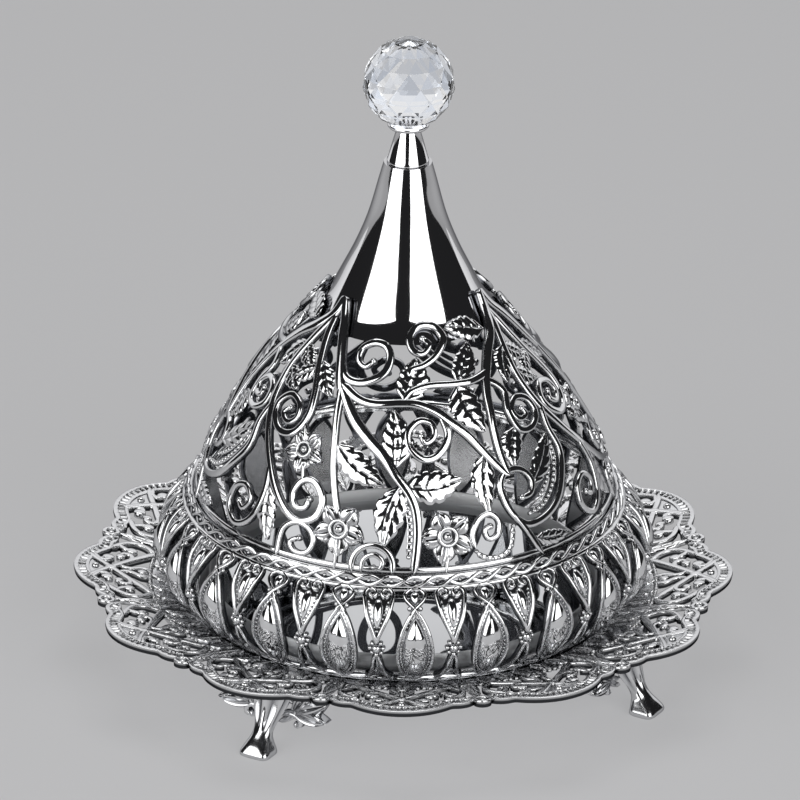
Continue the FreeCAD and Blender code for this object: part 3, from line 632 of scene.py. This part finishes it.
LID_COILS = [
    ([(5.0, 44.2), (6.3, 36.8), (2.2, 31), (-2.5, 30.2), (-6.5, 34.3), (-6.5, 39.2), (-2.8, 42.6),
      (1.3, 41.2), (1.7, 37.1), (-1.2, 35), (-2.5, 37.4)], (2.4, 2.4, 2.1, 1.7)),
    ([(-37.4, 62.5), (-33.8, 57.4), (-28.9, 55.6), (-22.9, 56.8), (-16.9, 61.2), (-15, 67.9), (-17.4, 73.8),
      (-23.4, 75.2), (-29, 71.6), (-29.7, 66), (-25.9, 62.9), (-22.6, 65.9)], (2.6, 2.6, 2.2, 1.7)),
    ([(-6.5, 60), (-5, 63.2), (0.6, 65), (7.1, 69.6), (12, 77.5), (8.1, 85), (-0.4, 86), (-5.5, 79.7),
      (-4.7, 72.8), (0.1, 70.4), (4, 74.6), (1, 78.2)], (1.8, 2.4, 2.4, 1.7)),
    ([(52.6, 95), (49.5, 80), (45.6, 68), (43, 58), (42.4, 49.6), (44.6, 38.5), (49.8, 29), (55.9, 20.6),
      (60.5, 15.2), (65, 11.2), (69.2, 9.5), (73.6, 11.5), (74.7, 16.3), (71.5, 20.5), (67.6, 20),
      (65.8, 16.1), (67.4, 13), (70.2, 13.2), (70.9, 15.6)], (2.6, 2.4, 2.4, 2.5, 2.4, 1.8)),
    ([(-39.8, -0.4), (-39.5, 6.4), (-36, 9.2), (-32.1, 8.3), (-30.5, 5.6), (-31.9, 2.4), (-35.2, 2.1),
      (-36.8, 4.1), (-34.6, 5.4)], (1.9, 1.9, 1.6)),
    ([(-54, 84), (-51, 70), (-47.3, 57.7), (-43.4, 47), (-42.3, 38.8), (-45, 32.8), (-50.4, 31.2),
      (-55.4, 34.5), (-56.8, 39.3), (-53.1, 43.5), (-47.7, 41.8), (-46.2, 37.2), (-49.3, 34.7),
      (-52.6, 36.9), (-51, 39.2)], (2.2, 2.2, 2.4, 2.4, 2.0, 1.7)),
    ([(26, 54.6), (30.2, 51.2), (32.2, 46.9), (30.3, 40.5), (31.8, 33.8), (37.1, 32.8), (41.4, 36.4),
      (40.4, 41.9), (35.4, 43.8), (31.7, 40.4), (33.3, 36.7), (36.8, 37.1), (36.2, 39.6)],
      (2.2, 2.2, 2.2, 1.7)),
    ([(55.6, 21), (56.8, 13.5), (54.6, 6), (49.6, 3.1), (45.3, 6.2), (45.8, 11.3), (49.8, 13.2),
      (52.8, 10.4), (51, 7.3), (48.9, 8.6)], (2.2, 2.2, 2.0, 1.7)),
    ([(9.8, 5.2), (9.5, 8.7), (11.8, 12.2), (14.9, 13), (17, 10.6), (16.1, 7.4), (13.6, 6.8), (12.9, 9.2),
      (14.6, 9.8)], (1.8, 1.9, 1.6)),
    ([(45, 37), (43.6, 30.6), (44.4, 22.8), (40.8, 16.2), (36.3, 11), (30.8, 8.4), (25.3, 8), (21.9, 10.8),
      (19.8, 15.2), (19.5, 19.9), (22.3, 23), (27.1, 22.5), (29.6, 18.9), (28.3, 15.6), (25.2, 15)],
      (1.8, 2.4, 2.5, 2.3, 2.1, 1.8))]
# Leaves: base, tip and width
LID_LEAVES = [
    ((-28.9, 32.6), (-13.2, 22.4), 6.8), ((-10.4, 27.4), (-12.1, 46.4), 7.4),
    ((-8.2, 22.8), (-13, 6.2), 7.6), ((-46, 60.5), (-36.2, 47.6), 5.2), ((-46.4, 15.6), (-43.4, 2.6), 6.0),
    ((-7.8, 49.4), (-2.9, 68.6), 7.6), ((37.4, 76), (14.4, 83.4), 6.0), ((13.5, 56), (24.5, 73), 5.6),
    ((13, 55), (18.8, 36), 8.2), ((-7.6, 22.2), (8.6, 23.4), 7.8), ((17.2, 30.4), (14.6, 13), 6.2),
    ((30, 35), (25.2, 23.6), 6.4), ((26.8, 4.2), (37.6, 2.6), 4.0), ((44.4, 65), (35.6, 50), 5.6),
    ((43, 53), (52.4, 45.5), 5.0), ((44.8, 64), (54, 56), 5.0), ((29.2, 17.4), (41.4, 29.2), 5.4),
    ((-47, 57), (-57, 48), 4.6)]
# Flowers: place, radius, number of petals and turn
LID_FLOWERS = [(-24.3, 9.7, 9.0, 5, -88.0), (3.1, 8.7, 9.2, 5, -105.0), (-39.2, 28.6, 7.6, 5, -90.0)]
# Strings of beads: line and bead radius
LID_BEADS = [
    ([(41.8, 26), (40.4, 21.1), (37, 15.9), (32, 11.8), (26.6, 10.5)], 0.8),
    ([(39.6, 24.8), (38, 20.8), (35, 17), (31.2, 14.2)], 0.7),
    ([(-7.4, 17.4), (-6.5, 14), (-6.2, 10), (-6.6, 4)], 0.85),
    ([(10.2, 4.2), (11.8, 2.6), (15.8, 1.8), (19.4, 3.6), (21, 8.6)], 0.8)]


def small_arch(piece):
    """Round arch on the ring with a curl in it"""
    band(piece, dome, arc((-20, 0), (-15.3, 6.6), (-10.6, 0), 24), 2.1, height=1.4)
    curl = [(-17.8, 0), (-17.4, 3.0), (-15, 4.4), (-12.9, 3), (-13.4, 0.9), (-15, 1.2)]
    coil(piece, dome, curl, (1.6, 1.8, 1.5), height=1.4)


def lid_panel():
    """One panel of scrollwork between two ridges"""
    piece = Piece()
    foot_line = np.stack([np.linspace(-HALF_PANEL, HALF_PANEL, 70), np.full(70, 0.8)], -1)
    band(piece, dome, foot_line, 2.0, height=0.9)
    for line, width in LID_STEMS:
        stroke(piece, dome, line, [STEM_SWELL * w for w in width], height=1.5)
    for line, width in LID_COILS:
        coil(piece, dome, line, [COIL_SWELL * w for w in width], height=1.4)
    for base, tip, width in LID_LEAVES:
        leaf(piece, dome, base, tip, LEAF_SWELL * width)
    for place in LID_FLOWERS:
        flower(piece, dome, *place)
    for line, r in LID_BEADS:
        stroke(piece, dome, line, (2.4 * r, 2.4 * r), height=0.45, depth=0.5)
        beads(piece, dome, smooth(line, 80), 1.9 * r, r, base=0.35)
    small_arch(piece)
    return piece


for k in range(PANELS):
    lid_panel().build("lid_scrollwork_%d" % (k + 1), "lid", PLATE, first=PANEL_MIDDLE + 360 / PANELS * k,
                      replaces=["lid_panel_%d" % (k + 1)])
turned("lid_ring", "lid", PLATE, LID_RING, replaces=["lid_base_ring"])

# Spire and knob

spire_line = smooth(SPIRE, 60)
spire_inside = (spire_line - [SPIRE_SHEET, 0])[::-1][2:]
turned("plain_spire", "lid", MIRROR, np.vstack([spire_line, SPIRE_CAP, spire_inside]), replaces=["spire"],
       slot="mirror_metal")
turned("turned_stem", "lid", MIRROR, STEM, KNOB_STEPS, replaces=["knob_stem"], slot="mirror_metal")
turned("turned_cup", "lid", MIRROR, CUP, KNOB_STEPS, replaces=["knob_cup"], slot="mirror_metal")


def ball():
    """Cut ball: rows of points on a sphere, each row turned by half a step, joined by flat triangles"""
    n = BALL_SIDES
    turn = 2 * np.pi / n * (np.arange(n) + 0.5 * (np.arange(len(BALL_ROWS))[:, None] % 2))
    tilt = np.radians(BALL_ROWS)[:, None] + 0 * turn
    spots = BALL_R * np.stack([np.sin(turn) * np.cos(tilt), -np.cos(turn) * np.cos(tilt), np.sin(tilt)], -1)
    seat = turn[-1]
    foot = np.stack([BALL_FOOT_R * np.sin(seat), -BALL_FOOT_R * np.cos(seat), np.full(n, BALL_FOOT_Z)], -1)
    points = np.vstack([spots.reshape(-1, 3), foot, [[0, 0, BALL_R]]])
    j = np.arange(n)
    after = (j + 1) % n
    last = (len(BALL_ROWS) - 1) * n
    faces = [np.stack([np.full(n, last + 2 * n), j, after], -1)]
    for k in range(len(BALL_ROWS) - 1):
        upper, lower = k * n, (k + 1) * n
        left = (j + k % 2 - 1) % n
        right = (left + 1) % n
        faces.append(np.stack([upper + j, lower + right, upper + after], -1))
        faces.append(np.stack([upper + j, lower + left, lower + right], -1))
    faces.append(np.stack([last + j, last + n + j, last + n + after, last + after], -1))
    faces.append((last + n + j[::-1])[None])
    piece = Piece()
    piece.points, piece.faces = [points + [0, 0, BALL_Z]], faces
    piece.relief, piece.total = [np.ones(len(points))], len(points)
    return piece


ball().build("cut_ball", "lid", GLASS, replaces=["crystal_ball"], slot="crystal", crease=1)

# Basket

wall = Skin(WALL, BELLY_R)
LOW, TOP = wall.height(WALL_LOW_Z), wall.height(WALL_TOP_Z)
HEART_X = math.radians(180 / MOTIFS) * BELLY_R


def boss_column(piece):
    """Pointed oval with a mirror dome and a dotted border, hung by a crossed loop from the rim"""
    high = wall.height(BOSS_TOP_Z)
    band(piece, wall, pointed_oval(0, LOW - 0.4, high, 11.6, 26), 1.2, height=1.6, depth=0.8, ring=True)
    ground = pointed_oval(0, LOW + 0.2, high - 0.8, 10.6, 22)
    plate(piece, wall, ground, crown=0.2, edge=0.3, depth=0.8, rows=3, shade=0.5)
    beads(piece, wall, pointed_oval(0, LOW + 1.2, high - 1.2, 9.8, 24), 1.5, 0.4, base=0.5)
    mirror = pointed_oval(0, LOW + 1.9, high - 2.4, 8.8, 30)
    plate(piece, wall, mirror, crown=2.7, edge=0.4, depth=0.5, rows=11, shade=0.85)
    loop = [(-1.6, high - 1.4), (0.3, high + 0.5), (3.1, high + 3.4), (3.3, TOP - 2.1), (0, TOP - 0.1),
            (-3.3, TOP - 2.1), (-3.1, high + 3.4), (-0.3, high + 0.5), (1.6, high - 1.4)]
    band(piece, wall, even(smooth(loop, 120), 50), 1.2, height=1.7, depth=0.8)
    drop = drop_outline(0, TOP - 3.2, 1.9, high + 1.6, 16)
    plate(piece, wall, drop, crown=1.1, edge=0.2, depth=0.6, shade=0.8)
    for x in (-1.9, 1.9):
        bead(piece, wall, x, high + 0.3, 0.75, base=0.6)


def heart_column(piece):
    """Heart with curled lobes over a cluster of beads and two bowed legs"""
    tip, knot, hip = (wall.height(z) for z in (HEART_TIP_Z, HEART_KNOT_Z, HEART_HIP_Z))
    x = HEART_X
    rail = [(0, tip - 1.0), (1.0, tip + 2.0), (3.6, tip + 8.0), (5.0, TOP - 4.4), (4.8, TOP - 1.8),
            (3.0, TOP - 0.4), (1.1, TOP - 1.6), (1.3, TOP - 3.4), (2.8, TOP - 3.8), (3.3, TOP - 2.6)]
    dots = [(0.3, tip + 3.0), (2.0, tip + 7.4), (3.5, TOP - 5.6)]
    bowed = [(0.5, hip), (1.3, hip - 4), (2.6, LOW + 4), (5.2, LOW - 0.4)]
    for s in (-1, 1):
        coil(piece, wall, mirrored(rail, s, x), (1.3, 1.3, 1.3, 1.0), height=1.7, depth=0.8)
        beads(piece, wall, smooth(mirrored(dots, s, x), 40), 1.4, 0.42, base=0.45)
        stroke(piece, wall, mirrored(bowed, s, x), (1.3, 1.4), height=1.5, depth=0.8)
    field = [(0, tip + 1.2), (2.0, tip + 5.4), (4.0, TOP - 6.4), (4.3, TOP - 3.4), (2.6, TOP - 1.4),
             (0, TOP - 3.4), (-2.6, TOP - 1.4), (-4.3, TOP - 3.4), (-4.0, TOP - 6.4), (-2.0, tip + 5.4)]
    plate(piece, wall, mirrored(field, 1, x), crown=0.15, edge=0.3, rows=3, centre=(x, TOP - 6.4),
          shade=0.7)
    drop = drop_outline(x, TOP - 6.0, 1.8, tip + 3.4, 18)
    plate(piece, wall, drop, crown=1.3, edge=0.35, depth=0.5, rows=6, shade=0.8)
    bead(piece, wall, x, knot, 1.6, base=0.8, depth=0.8)
    for dx, dy in ((-1.4, 1.7), (1.4, 1.7), (-1.5, -1.7), (1.5, -1.7), (-2.2, 0), (2.2, 0)):
        bead(piece, wall, x + dx, knot + dy, 0.75, base=0.5, depth=0.7)
    bead(piece, wall, x, hip - 0.6, 0.95, base=0.6, depth=0.7)
    gusset = [(0, hip - 2.4), (0.8, hip - 5), (2.4, LOW), (-2.4, LOW), (-0.8, hip - 5)]
    plate(piece, wall, mirrored(gusset, 1, x), crown=0.2, edge=0.1, depth=0.6, rows=3)


def braid(piece):
    """Two wavy strands of opposite phase: across is a sine of the girth, and each rises over the other in
    turn, with a bead in each eye"""
    face = RimFace()
    eye = 2 * np.pi * BRAID_R / BRAID_EYES
    t = np.arange(0, STEPS_PER_EYE * BRAID_EYES) / STEPS_PER_EYE
    for s in (-1, 1):
        line = np.stack([t * eye, s * BRAID_SWING * np.sin(np.pi * t)], -1)
        over = 1 + STRAND_LIFT * s * np.cos(np.pi * t)
        ahead = heading(line, ring=True)
        ahead[0] = ahead[-1] = ahead[1]
        x = line[:, :1] + ahead[:, 1:] * STRAND_HALF * BAR_U
        y = line[:, 1:] - ahead[:, :1] * STRAND_HALF * BAR_U
        h = np.where(BAR_V < 0, -STRAND_DEPTH, BAR_V * over[:, None])
        # The relief follows the strand's section, which paints shade down its sides
        piece.add(face.place(x, y, h), np.clip(BAR_V, 0, 1), ring=True)
    for k in range(BRAID_EYES):
        bead(piece, face, (k + 0.5) * eye, 0, STRAND_HALF, base=0.1, depth=0.3)


bosses, hearts, rim = Piece(), Piece(), Piece()
boss_column(bosses)
heart_column(hearts)
lathe(rim, RIM)
braid(rim)
bosses.build("basket_boss_columns", "base", PLATE, MOTIFS, FIRST_MOTIF, ["basket_bosses"])
hearts.build("basket_heart_columns", "base", PLATE, MOTIFS, FIRST_MOTIF, ["basket_motifs"])
rim.build("basket_braided_rim", "base", PLATE, replaces=["basket_rim_band"])
turned("basket_smooth_wire", "base", PLATE, circle(WIRE_R, WIRE_Z, WIRE_HALF, 14), 160,
       replaces=["basket_rim_wire"])
turned("basket_foot_ring", "base", PLATE, FOOT_RING, replaces=["basket_base_ring"])
span = np.linspace(DISH_R, AXIS_R, 24)
dish_top = np.stack([span, DISH_Z + DISH_RISE * (span / DISH_R) ** 4], -1)
turned("polished_dish", "base", DISH, np.vstack([[(AXIS_R, DISH_UNDER), (DISH_R, DISH_UNDER)], dish_top]),
       replaces=["inner_dish"], slot="mirror_metal")
turned("dish_upstand", "base", SATIN, UPSTAND, slot="mirror_metal")

# Tray

tray_top = TrayTop()


def spot(angle, radius):
    """Plan point at an angle from the middle of the scallop"""
    a = math.radians(angle)
    return radius * math.sin(a), radius * math.cos(a)


def lobe_line(inset, count):
    """Edge of one scallop, moved inwards: a wide arc between two small shoulders"""
    right = [spot(*p) for p in (LOBE_SHOULDER, LOBE_BULGE, LOBE_NOTCH)]
    left = [spot(-a, r) for a, r in (LOBE_NOTCH, LOBE_BULGE, LOBE_SHOULDER)]
    crest = arc(left[2], spot(*LOBE_TIP), right[0], 90)
    line = even(np.vstack([arc(*left, 40)[:-1], crest[:-1], arc(*right, 40)]), count)
    ahead = heading(line)
    for _ in range(6):
        ahead[1:-1] = (ahead[:-2] + ahead[1:-1] + ahead[2:]) / 3
    return line + inset * np.stack([ahead[:, 1], -ahead[:, 0]], -1)


def milled_border(piece):
    """Border of the scallop: a flat rim and an inner rail, with a row of short sunk slots between them"""
    line = lobe_line(BORDER_WIDTH / 2, 300)
    length = run(line)
    slots = round(length[-1] / SLOT_PITCH)
    sunk = np.clip(0.6 - 1.6 * np.cos(2 * np.pi * slots * length / length[-1]), 0, 1)[:, None]
    u = np.array([-1, -0.95, -0.8, -0.42, -0.34, 0.1, 0.46, 0.54, 0.7, 0.92, 1, 0.9, -0.9])
    flat = np.array([0, 0.8, 1, 0.95, 0.7, 0.7, 0.7, 0.95, 1, 0.8, 0, -1, -1])
    slot = np.array([0, 0, 0, 0, 0.68, 0.68, 0.68, 0, 0, 0, 0, 0, 0])
    # The sunk slots take low relief, which paints shade in them
    band(piece, tray_top, line, BORDER_WIDTH, height=1.0, depth=1.2, u=u, v=flat - slot * sunk)


# Lines of one half of the scallop, seen in plan
SCALLOP_ARM = [(15.4, 83.4), (11.8, 87.4), (5.8, 93.2), (0, 98.4), (-4.6, 102.6), (-8.4, 105.4)]
SCALLOP_HOOK = [(4.4, 94.6), (7.6, 91.8), (10.8, 91.8), (11.4, 94.4), (9.4, 95.8)]
SCALLOP_CURL = [(9.4, 104.4), (5.6, 102.4), (5.2, 99.8), (7.6, 99.0)]
SCALLOP_SIDE = [(15.2, 84), (18.6, 86.8), (20.2, 90.8), (18.6, 95), (14.8, 98.6)]
SCALLOP_SPUR = [(17.6, 96), (15.4, 94.4), (14.2, 92.4)]
SCALLOP_ROOT = [(2.4, 84.6), (3.2, 88), (1.4, 91.4), (1.6, 94.2), (3.0, 95.6)]


def scallop(piece):
    """Lace of one scallop: two crossed arms with a flat web between their ends, hooked scrolls and pads"""
    web = [(0, 99.6), (3.8, 103.2), (7.6, 105.6), (0, 107.2), (-7.6, 105.6), (-3.8, 103.2)]
    plate(piece, tray_top, web, crown=0.15, edge=0.3, depth=LACE_DEPTH, rows=3, shade=0.6)
    bead(piece, tray_top, 0, 103.6, 1.4, depth=0.9)
    pad(piece, tray_top, 0, 98.4, 2.0)
    for s in (-1, 1):
        stroke(piece, tray_top, mirrored(SCALLOP_ARM, s), (2.6, 2.4, 2.0, 2.2), LACE_HEIGHT, LACE_DEPTH)
        stroke(piece, tray_top, mirrored(SCALLOP_HOOK, s), (1.8, 2.0, 1.8), LACE_HEIGHT, LACE_DEPTH)
        pad(piece, tray_top, s * 9.2, 95.4, 1.6)
        stroke(piece, tray_top, mirrored(SCALLOP_CURL, s), (1.6, 1.8, 2.6), LACE_HEIGHT, LACE_DEPTH)
        pad(piece, tray_top, s * 7.6, 99.4, 2.0)
        stroke(piece, tray_top, mirrored(SCALLOP_SIDE, s), (2.2, 2.0, 2.0, 2.2), LACE_HEIGHT, LACE_DEPTH)
        stroke(piece, tray_top, mirrored(SCALLOP_SPUR, s), (1.6, 2.4), LACE_HEIGHT, LACE_DEPTH)
        pad(piece, tray_top, s * 14.4, 91.8, 2.0)
        stroke(piece, tray_top, mirrored(SCALLOP_ROOT, s), (2.4, 2.0, 1.6), 1.0, LACE_DEPTH)
    pad(piece, tray_top, 0, 87.6, 1.8)


def between(piece):
    """Long leaf and a ring bead in the gap between two scallops"""
    x, y = spot(HALF_LOBE, BEAD_CIRCLE_R)
    band(piece, tray_top, circle(x, y, 2.3, 20), 1.5, height=1.3, depth=1.2, ring=True)
    bead(piece, tray_top, x, y, 1.35, base=-0.2, depth=0.9)
    long_leaf = spot(HALF_LOBE, 74.5), spot(HALF_LOBE, 99.4)
    leaf(piece, tray_top, *long_leaf, 5.2, height=1.1, veins=6, depth=0.9, bend=0.0)


def stamped_leaves(piece):
    """Leaves pointing outwards from the basket, with a row of beads at their tips"""
    leaf(piece, tray_top, (0, 74), (0, 85), 5.6, height=1.0, veins=4, depth=0.9)
    for s in (-1, 1):
        leaf(piece, tray_top, (s * 6.6, 73.6), (s * 8.4, 84.4), 5.4, height=1.0, veins=4, depth=0.9)
        leaf(piece, tray_top, (s * 12.6, 72.8), (s * 15.6, 82.8), 4.8, height=1.0, veins=4, depth=0.9)
    tips = [spot(a, LEAF_TIPS_R) for a in (-HALF_LOBE, 0, HALF_LOBE)]
    beads(piece, tray_top, arc(*tips, 40), 2.1, 0.8)


lace, border, leaves = Piece(), Piece(), Piece()
scallop(lace)
milled_border(border)
between(leaves)
stamped_leaves(leaves)
lace.build("tray_lace", "base", LACE, LOBES, 0.0, ["tray"])
border.build("tray_milled_border", "base", LACE, LOBES)
leaves.build("tray_stamped_leaves", "base", LACE, LOBES)
floor_top = np.stack([FLOOR_RADII, np.polyval(tray_top.curve, FLOOR_RADII)], -1)
floor_under = [(AXIS_R, TRAY_UNDER), (FLOOR_RADII[0], TRAY_UNDER), *(floor_top[1:] - [0, TRAY_SHEET])]
turned("tray_floor", "base", LACE, np.vstack([floor_under, floor_top[::-1], [(AXIS_R, TRAY_FLOOR)]]))

# Feet


def leg(piece):
    """Cabriole leg: fluted ovals carried down a bowed line, whose sections square off into a flared hoof"""
    radius, z, across, along, square = (c[:, None] for c in smooth(LEG, LEG_STEPS).T)
    a = angles(LEG_STEPS)
    corner = (np.abs(np.sin(a)) ** square + np.abs(np.cos(a)) ** square) ** (-1 / square)
    flute = 1 + FLUTE_CUT * np.cos(FLUTES * a) * np.clip((z - FLUTE_END_Z) / FLUTE_FADE, 0, 1)
    x = across * corner * flute * np.sin(a)
    y = -(radius + along * corner * flute * np.cos(a))
    # The relief is low in the flutes, which paints shade in them
    piece.add(np.stack([x, y, np.broadcast_to(z, x.shape)], -1), np.clip(0.6 + 4 * (flute - 1), 0, 1))


def wings(piece):
    """A rail, two scrolls and three long leaf lobes on each side of the leg"""
    face = Upright(WING_R)
    rail = [(2.2, 8.8), (5.6, 10.4), (9.4, 14.2), (12.4, 19.6), (13, 25.2)]
    curl = [(3.0, 11.6), (6.6, 12.4), (9.6, 11.6), (10.4, 9.4), (8.6, 8.6)]
    for s in (-1, 1):
        stroke(piece, face, mirrored(rail, s), (1.8, 2.4, 3.2), height=1.9, depth=1.6)
        coil(piece, face, mirrored(curl, s), (1.6, 1.8, 2.0), height=2.0, depth=1.4)
        coil(piece, face, spiral(s * 7.4, 18.2, 3.7, -90, s, 1.2, 14), (1.6, 1.4), height=1.8, depth=1.4)
        for angle, reach, width in ((-4, 12.4, 7.0), (26, 14.0, 7.4), (56, 12.4, 7.0)):
            lobe_angle = angle if s > 0 else 180 - angle
            petal(piece, face, s * 8.4, 13.6, lobe_angle, 0.6, reach, width, height=3.4, depth=1.4)


foot = Piece()
leg(foot)
wings(foot)
foot.build("cast_feet", "base", PLATE, FEET, FIRST_FOOT, ["foot_%d" % (k + 1) for k in range(FEET)])

# Fasteners inside the spire keep their solids

for name in ("knob_stud", "knob_washer", "knob_nut"):
    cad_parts[name].data.materials.clear()
    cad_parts[name].data.materials.append(STEEL)

# Stage, light and camera

FLOOR_HALF = 25.0
CARD_HALF, CARD_Y, CARD_TOP = 1.7, 1.1, 1.5
MIDDLE = (0, 0, 0.1)
TILT, PAN, ROLL = 24.59, 0.031, 0.65


def stage_plane(name, corners, material):
    """One flat face that belongs to the stage"""
    mesh = bpy.data.meshes.new(name)
    mesh.from_pydata(corners, [], [tuple(range(len(corners)))])
    mesh.materials.append(material)
    made = bpy.data.objects.new(name, mesh)
    bpy.context.scene.collection.objects.link(made)
    return made


def pale(name, colour, own):
    """Pale studio surface: lit by the lamps, with a share of its own plain colour for the eye, mirrors and
    glass"""
    made = Finish(name, Roughness=0.8, Base_Color=(*colour, 1))
    rays = ("Is Camera Ray", "Is Glossy Ray", "Is Transmission Ray")
    seen = [made.node("LightPath", {}, {}, ray) for ray in rays]
    plain = made.node("Emission", {}, {"Color": (*colour, 1)})
    lit = Value(made.tree, made.shader.outputs[0])
    both = made.node("MixShader", {}, {0: (seen[0] + seen[1] + seen[2]) * own, 1: lit, 2: plain})
    connect(made.tree, both, made.tree.nodes["Material Output"].inputs["Surface"])
    return made.material


def softbox(name, place, width, height, power):
    """Rectangular lamp that looks at the middle of the dish"""
    light = bpy.data.lights.new(name, "AREA")
    light.shape = "RECTANGLE"
    light.size, light.size_y, light.energy = width, height, power
    made = bpy.data.objects.new(name, light)
    made.location = place
    x, y, z = np.subtract(MIDDLE, place)
    made.rotation_euler = (math.atan2(math.hypot(x, y), -z), 0, math.atan2(x, -y) + math.pi)
    made.visible_camera = False
    bpy.context.scene.collection.objects.link(made)


floor_corners = [(-FLOOR_HALF, -FLOOR_HALF, 0), (FLOOR_HALF, -FLOOR_HALF, 0), (FLOOR_HALF, FLOOR_HALF, 0),
                 (-FLOOR_HALF, FLOOR_HALF, 0)]
stage_plane("floor", floor_corners, pale("pale_floor", (0.62, 0.62, 0.63), 0.55))
# The card is seen only in the metal and the glass
card_corners = [(-CARD_HALF, CARD_Y, 0), (CARD_HALF, CARD_Y, 0), (CARD_HALF, CARD_Y, CARD_TOP),
                (-CARD_HALF, CARD_Y, CARD_TOP)]
card = stage_plane("reflector_card", card_corners, pale("pale_card", (0.90, 0.90, 0.91), 1.0))
card.visible_camera = card.visible_diffuse = card.visible_shadow = False

softbox("softbox_left", (-1.15, -1.07, 0.70), width=1.6, height=1.25, power=14)
softbox("softbox_right", (0.88, -1.30, 0.70), width=1.5, height=1.25, power=13)
softbox("softbox_top", (0.0, 0.5, 1.9), width=1.6, height=1.0, power=9)

world = bpy.data.worlds.new("dark_studio")
bpy.context.scene.world = world
world.use_nodes = True
world.node_tree.nodes["Background"].inputs["Color"].default_value = (0.015, 0.015, 0.016, 1)

camera = bpy.data.objects.new("camera", bpy.data.cameras.new("camera"))
camera.data.lens = 476.0
camera.data.sensor_width = 36.0
camera.data.clip_start, camera.data.clip_end = 0.1, 50
camera.location = (0.0, -3.2156, 1.5635)
camera.rotation_mode = "XYZ"
camera.rotation_euler = (math.radians(90 - TILT), 0, math.radians(PAN))
camera.rotation_euler.rotate_axis("Z", math.radians(ROLL))
bpy.context.scene.collection.objects.link(camera)
bpy.context.scene.camera = camera
bpy.context.scene.view_settings.view_transform = "Standard"
